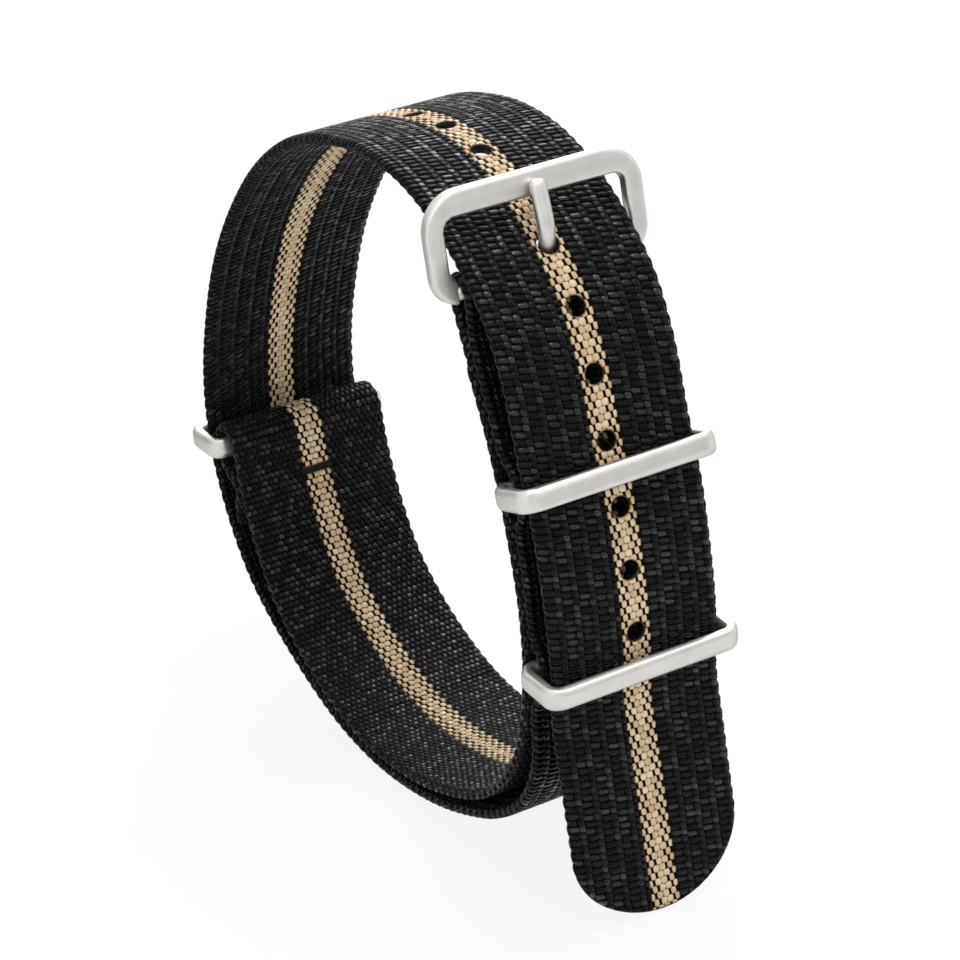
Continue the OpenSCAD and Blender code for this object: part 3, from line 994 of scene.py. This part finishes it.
class STRAP_OT_long_webbing(bpy.types.Operator):
    """The long piece of webbing, from the tail's tip to the stub behind the first weld"""

    bl_idname = "strap.long_webbing"
    bl_label = "Long Webbing"

    sideways = 0.05 * MM

    def execute(self, context):
        Routes.read()
        route, holes = Routes.long, Routes.holes
        upper = Routes.passes("upper_keeper", route)[0]
        behind = Routes.passes("end_keeper", route)[0]
        lower = [u for u in Routes.passes("lower_keeper", route) if u > behind][0]
        over_top, at_bottom = [Routes.groove((a + b) / 2) for a, b in ((upper, behind), (behind, lower))]
        cuts = [Routes.tail_start, upper, over_top, behind, at_bottom, lower, route.length]
        for n, (start, end) in enumerate(zip(cuts, cuts[1:])):
            band = Band(f"long_webbing_{n + 1}", route, start, end, self.sideways)
            band.holes = [hole for hole in holes if start < hole[0] < end]
            band.shaded = Routes.under_holes(route, start, end)
            if start == Routes.tail_start:
                band.tip = start
            if start == lower:
                band.welds = welds_on(route, start, end)
                band.opening = in_eye_opening
            finish_webbing(band.build(), "long_strap")
        return {"FINISHED"}


def in_eye_opening(places):
    """Whether places in the loop's plane lie in the opening round the tongue's eye."""
    above, below, beside = 2.4 * MM, 2.25 * MM, 2.6 * MM
    off = places - np.array([PIVOT.x, PIVOT.z])
    along = off @ OPENING_DOWN
    out = off @ np.array([-OPENING_DOWN[1], OPENING_DOWN[0]])
    return (along > -above) & (along < below) & (np.abs(out) < beside)


class STRAP_OT_short_webbing(bpy.types.Operator):
    """The short piece of webbing, from the first weld to the end keeper's fold"""

    bl_idname = "strap.short_webbing"
    bl_label = "Short Webbing"

    sideways = -0.25 * MM
    lead_in = 0.16 * MM

    def execute(self, context):
        Routes.read()
        route = Routes.short
        lower = Routes.passes("lower_keeper", route)[0]
        cuts = [-self.lead_in, lower, Routes.groove((lower + route.length) / 2), route.length]
        for n, (start, end) in enumerate(zip(cuts, cuts[1:])):
            band = Band(f"short_webbing_{n + 1}", route, start, end, self.sideways, plain=True)
            band.shaded = Routes.under_holes(route, start, end)
            band.welds = welds_on(route, start, end)
            finish_webbing(band.build(), "short_strap", plain=True)
        return {"FINISHED"}


class STRAP_OT_welds(bpy.types.Operator):
    """The bands of nylon melted through two layers"""

    bl_idname = "strap.welds"
    bl_label = "Welds"

    half_along = 0.42 * MM
    half_through = 1.16 * MM
    lump_height = 0.03 * MM
    rounding = 0.16 * MM
    end_thinning = 0.3

    def execute(self, context):
        Routes.read()
        size = sizes()
        for n in WELDS:
            node = f"weld_{n}"
            route = Routes.short if n > 1 else Routes.long
            place = Routes.passes(node, route, MM)[-1 if n == 1 else 0]
            normal = route.normal(np.array([place]))[0]
            weld = begin(f"weld_band_{n}", bpy.ops.mesh.primitive_cube_add, size=2)
            weld.scale = (self.half_along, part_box(node)[1].y, self.half_through - size.weld_press)
            settle(weld)
            edit_all(weld, bpy.ops.mesh.subdivide, number_cuts=16)
            for vertex in weld.data.vertices:
                x, y, z = vertex.co
                sunk = smooth((abs(y) - size.weld_half + 0.4 * MM) / (0.5 * MM))
                lump = self.lump_height * math.sin(y / MM * 2.3 + n) * math.cos(x / MM * 3.1)
                vertex.co.z = z * (1 - self.end_thinning * sunk) + math.copysign(lump, z)
            round_edges(weld, self.rounding, 3)
            turn = Matrix.Rotation(math.atan2(normal[0], normal[1]), 4, "Y")
            weld.data.transform(Matrix.Translation(centre_of(node)) @ turn)
            finish_piece(weld, WEBBING_BODY, "weld", node, material("Melted nylon", melted_material))
        return {"FINISHED"}


def node_heading(node):
    """The angle by which a keeper's ring is turned in the plane, from the axis it slides on."""
    for joint in frame["joints"]:
        if joint["type"] == "slide" and node in frame["record"]["behaviour"]["bodies"][joint["child"]]:
            x, _, z = joint["axis"]
            return math.atan2(-z, x)
    return math.radians(-90)


class STRAP_OT_keepers(bpy.types.Operator):
    """The three rings of rounded flat bar that the webbing runs through"""

    bl_idname = "strap.keepers"
    bl_label = "Keepers"

    bodies = {"upper_keeper": "keeper_upper", "lower_keeper": "keeper_lower", "end_keeper": "keeper_end"}

    def execute(self, context):
        size = steel_sizes()
        bar, corner = size.bar, size.keeper_corner
        for node, body in self.bodies.items():
            angle = node_heading(node)
            local = points_of(node) @ np.array(Matrix.Rotation(-angle, 3, "Y")).T
            low, high = local.min(0), local.max(0)
            middle, reach = (low[0] + high[0]) / 2, (high[0] - low[0]) / 2 / size.keeper_dome
            outer_low, outer_high = (-high[1], low[2], middle - reach), (high[1], high[2], middle + reach)
            inner_low = (outer_low[0] + bar, outer_low[1] + bar, outer_low[2] - MM)
            inner_high = (outer_high[0] - bar, outer_high[1] - bar, outer_high[2] + MM)
            ring = rounded_block(node + "_ring", outer_low, outer_high, corner, corner)
            subtract(ring, rounded_block("hole", inner_low, inner_high, corner - bar, corner - bar))
            round_edges(ring, size.keeper_edge, 6)
            for vertex in ring.data.vertices:
                vertex.co.z = middle + (vertex.co.z - middle) * size.keeper_dome
            # The block's Z becomes the webbing's run, its X the width and its Y the depth.
            lay_down = Matrix(((0, 0, 1, 0), (1, 0, 0, 0), (0, 1, 0, 0), (0, 0, 0, 1)))
            ring.data.transform(Matrix.Rotation(angle, 4, "Y") @ lay_down)
            finish_steel(ring, body, node)
        return {"FINISHED"}


class STRAP_OT_buckle_frame(bpy.types.Operator):
    """The buckle's frame, a rounded oblong of flat bar with a round rear bar"""

    bl_idname = "strap.buckle_frame"
    bl_label = "Buckle Frame"

    behind_bar = 0.4 * MM
    ahead_of_bar = 0.5 * MM
    webbing_gaps = (0.04 * MM, 0.16 * MM)
    bar_rounding = 0.15 * MM
    reach_in = 0.05 * MM

    def execute(self, context):
        size = steel_sizes()
        lean = size.frame_lean
        up_frame = np.array([-math.sin(lean), 0, math.cos(lean)])
        reach = ((points_of("buckle_frame") - np.array(PIVOT)) @ up_frame).max()
        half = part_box("buckle_frame")[1].y
        inside = half - size.side_bar
        rear, t = size.rear_bar / 2, size.frame_thickness / 2 / size.frame_dome
        outer = (-rear - self.behind_bar, -half, -t), (reach, half, t)
        plate = rounded_block("buckle_frame_ring", *outer, size.front_corner, size.rear_corner)
        inner = (rear + self.ahead_of_bar, -inside, -4 * t), (reach - size.front_bar, inside, 4 * t)
        subtract(plate, rounded_block("window", *inner, size.window_corner, size.window_corner))
        round_edges(plate, size.frame_edge, 7)
        left, right = -HALF_WIDTH - self.webbing_gaps[0], HALF_WIDTH + self.webbing_gaps[1]
        subtract(plate, rounded_block("strap_space", (-3 * rear, left, -4 * t), (4 * rear, right, 4 * t)))
        for vertex in plate.data.vertices:
            vertex.co.z *= size.frame_dome
        bar = begin(
            "buckle_rear_bar",
            bpy.ops.mesh.primitive_cylinder_add,
            vertices=48,
            radius=rear,
            depth=right - left + 2 * self.reach_in,
            location=(0, (left + right) / 2, 0),
            rotation=(math.radians(90), 0, 0),
        )
        settle(bar)
        round_edges(bar, self.bar_rounding, 2)
        # The block's X becomes the way up from the pivot, and its Z the way through the frame.
        stand_up = Matrix(((0, 0, 1, 0), (0, 1, 0, 0), (1, 0, 0, 0), (0, 0, 0, 1)))
        for piece in (plate, bar):
            piece.data.transform(Matrix.Translation(PIVOT) @ Matrix.Rotation(-lean, 4, "Y") @ stand_up)
            edit_all(piece, bpy.ops.mesh.normals_make_consistent, inside=False)
            finish_steel(piece, "buckle", "buckle_frame")
        return {"FINISHED"}


class STRAP_OT_buckle_tongue(bpy.types.Operator):
    """The buckle's tongue: one wire wrapped round the rear bar, bent and laid on the front bar"""

    bl_idname = "strap.buckle_tongue"
    bl_label = "Buckle Tongue"

    eye_gap = 0.66 * MM
    eye_wire = 0.6 * MM
    neck_wire = 0.68 * MM
    knee_run = 4.61 * MM
    bend_before = 1.5 * MM
    bend_after = 1.9 * MM
    rest = Vector((0.605, 0, 8.972)) * MM

    def execute(self, context):
        size = steel_sizes()
        wrap = size.rear_bar / 2 + self.eye_gap
        wire = bpy.data.curves.new("buckle_tongue_wire", "CURVE")
        wire.dimensions, wire.bevel_depth, wire.bevel_resolution = "3D", 1.0, 8
        wire.use_fill_caps, wire.twist_mode = True, "MINIMUM"
        path = self.path(size.tongue / 2, wrap)
        spline = wire.splines.new("POLY")
        spline.points.add(len(path) - 1)
        for point, (place, thick) in zip(spline.points, path):
            point.co, point.radius = (*place, 1), thick
        piece = bpy.data.objects.new("buckle_tongue_wire", wire)
        context.scene.collection.objects.link(piece)
        only(piece)
        bpy.ops.object.convert(target="MESH")
        piece = context.object
        for vertex in piece.data.vertices:
            grown = smooth(((vertex.co - PIVOT).length - wrap) / (3 * MM))
            vertex.co.y *= 1 + (size.tongue_width / size.tongue - 1) * grown
        bpy.ops.object.shade_smooth_by_angle(angle=math.radians(50))
        finish_steel(piece, "tongue", "buckle_tongue")
        return {"FINISHED"}

    def path(self, radius, wrap):
        """Places along the wire with its half thickness: eye, neck, knee's bend, arm and round end."""
        knee, rest = PIVOT + STEM * self.knee_run, PIVOT + self.rest
        direction = (rest - knee).normalized()
        bend_in, bend_out = knee - STEM * self.bend_before, knee + direction * self.bend_after
        path = []
        for degrees in range(-300, 1, 10):
            turn = Matrix.Rotation(math.radians(degrees), 3, "Y")
            path.append((PIVOT + turn @ STEM * wrap, self.eye_wire))
        path.append((PIVOT + STEM * (wrap + 0.5 * MM), self.neck_wire))
        for step in range(9):
            u = step / 8
            path.append((bend_in * (1 - u) ** 2 + knee * 2 * u * (1 - u) + bend_out * u**2, radius))
        for step in range(1, 6):
            path.append((bend_out.lerp(rest, step / 5), radius))
        for step in range(1, 9):
            angle = math.radians(90 * step / 8)
            thick = max(radius * math.cos(angle), 0.02 * MM)
            path.append((rest + direction * radius * 0.9 * math.sin(angle), thick))
        return path


# The stage.


class STRAP_OT_stage(bpy.types.Operator):
    """Camera, pale floor and soft studio light"""

    bl_idname = "strap.stage"
    bl_label = "Stage"

    # What the lamps and cards face.
    aim = Vector((0, 0, 0.04))

    # Each lamp's place, side in metres and watts.
    lamps = {
        "Overhead": ((0.1, 0.12, 0.7), 0.3, 2.1),
        "Front": ((0.7, -0.35, 0.35), 0.7, 1.6),
        "Back": ((-0.45, 0.35, 0.55), 0.5, 4.2),
    }

    # Each card's place, width and height in metres, and tone.
    cards = {
        "grey_card_front": ((0.5, -0.22, 0.12), 0.36, 0.4, 0.5),
        "grey_card_right": ((0.5, 0.24, 0.085), 0.36, 0.13, 0.65),
        "grey_card_low": ((0.23, 0.11, 0.003), 0.2, 0.22, 0.55),
        "grey_card_left": ((-0.1, -0.08, 0.003), 0.2, 0.2, 0.5),
    }

    def execute(self, context):
        scene = context.scene
        scene.view_settings.view_transform = "Standard"
        self.camera(scene)
        self.floor()
        self.world(scene)
        for name, (place, side, watts) in self.lamps.items():
            self.lamp(scene, name, Vector(place), side, watts)
        for name, (place, width, height, tone) in self.cards.items():
            self.card(name, Vector(place), width, height, tone)
        return {"FINISHED"}

    def camera(self, scene):
        view = scene.strap_view
        lens = bpy.data.cameras.new("Camera")
        lens.lens, lens.sensor_width = view.lens, 36.0
        lens.clip_start, lens.clip_end = 0.01, 20.0
        camera = bpy.data.objects.new("Camera", lens)
        scene.collection.objects.link(camera)
        a, e = view.azimuth, view.elevation
        back = Vector((math.sin(a) * math.cos(e), -math.cos(a) * math.cos(e), math.sin(e)))
        right = Vector((math.cos(a), math.sin(a), 0))
        up = back.cross(right)
        turn = Matrix((right, up, back)).transposed() @ Matrix.Rotation(view.roll, 3, "Z")
        camera.matrix_world = Matrix.Translation(Vector(view.target) + back * view.distance) @ turn.to_4x4()
        scene.camera = camera

    def floor(self):
        """A pale floor that is white to the camera but for the shadow."""
        floor = begin("floor", bpy.ops.mesh.primitive_plane_add, size=6, location=(0, 0, -0.0002))
        made, net, shader = new_material("Pale floor")
        net.fill(shader, Base_Color=(0.9, 0.9, 0.9, 1), Roughness=0.9, Specular_IOR_Level=0.0)
        white = net.fill(net.add("ShaderNodeEmission"), Strength=1.0)
        blend = net.add("ShaderNodeMixShader")
        net.put(blend.inputs["Fac"], net.math("MULTIPLY", net.seen_directly(), 0.88))
        net.put(blend.inputs[1], shader.outputs[0])
        net.put(blend.inputs[2], white[0])
        net.fill(made.node_tree.nodes["Material Output"], Surface=blend.outputs[0])
        floor.data.materials.append(made)

    def world(self, scene):
        """A world that is white where it is seen and dimmer as a light."""
        world = bpy.data.worlds.new("Studio")
        world.use_nodes = True
        scene.world = world
        net = Net(world.node_tree)
        strength = net.remap(net.seen_directly(), 0.0, 1.0, 0.48, 1.0, kind="LINEAR")
        net.fill(world.node_tree.nodes["Background"], Color=(1, 1, 1, 1), Strength=strength)

    def card(self, name, place, width, height, tone):
        """A grey card that shows only as a reflection in the steel."""
        turn = (self.aim - place).to_track_quat("Z", "Y").to_euler()
        card = begin(name, bpy.ops.mesh.primitive_plane_add, size=1, location=place, rotation=turn)
        card.scale = (width, height, 1)
        made, net, _ = new_material(name)
        light = net.fill(net.add("ShaderNodeEmission"), Strength=tone)
        net.fill(made.node_tree.nodes["Material Output"], Surface=light[0])
        card.data.materials.append(made)
        card.visible_camera = card.visible_diffuse = card.visible_shadow = False
        card.visible_transmission = card.visible_volume_scatter = False

    def lamp(self, scene, name, place, side, watts):
        light = bpy.data.lights.new(name, "AREA")
        light.shape = "SQUARE"
        light.size = side
        light.energy = watts
        lamp = bpy.data.objects.new(name, light)
        lamp.location = place
        lamp.rotation_euler = (self.aim - place).to_track_quat("-Z", "Y").to_euler()
        scene.collection.objects.link(lamp)


# The panel and the registration.


STEPS = (
    STRAP_OT_stage,
    STRAP_OT_long_webbing,
    STRAP_OT_short_webbing,
    STRAP_OT_welds,
    STRAP_OT_keepers,
    STRAP_OT_buckle_frame,
    STRAP_OT_buckle_tongue,
)


class STRAP_PT_panel(bpy.types.Panel):
    """Lists the steps that build the strap"""

    bl_idname = "STRAP_PT_panel"
    bl_label = "Nylon Strap"
    bl_space_type = "VIEW_3D"
    bl_region_type = "UI"
    bl_category = "Strap"

    def draw(self, context):
        for group in GROUPS_OF_VALUES:
            holder = getattr(context.scene, group)
            box = self.layout.box()
            for name in holder.__annotations__:
                box.prop(holder, name)
        for step in STEPS:
            self.layout.operator(step.bl_idname)


GROUPS_OF_VALUES = {
    "strap_webbing": WebbingSizes,
    "strap_steel": SteelSizes,
    "strap_colours": StrapColours,
    "strap_view": StageView,
}


def register():
    for kind in GROUPS_OF_VALUES.values():
        bpy.utils.register_class(kind)
    for name, kind in GROUPS_OF_VALUES.items():
        setattr(bpy.types.Scene, name, bpy.props.PointerProperty(type=kind))
    for kind in STEPS:
        bpy.utils.register_class(kind)
    bpy.utils.register_class(STRAP_PT_panel)


def unregister():
    bpy.utils.unregister_class(STRAP_PT_panel)
    for kind in reversed(STEPS):
        bpy.utils.unregister_class(kind)
    for name, kind in GROUPS_OF_VALUES.items():
        delattr(bpy.types.Scene, name)
        bpy.utils.unregister_class(kind)


def main():
    register()
    bpy.ops.strap.stage()
    bpy.ops.strap.long_webbing()
    bpy.ops.strap.short_webbing()
    bpy.ops.strap.welds()
    bpy.ops.strap.keepers()
    bpy.ops.strap.buckle_frame()
    bpy.ops.strap.buckle_tongue()
    deselect()


if __name__ == "__main__":
    main()
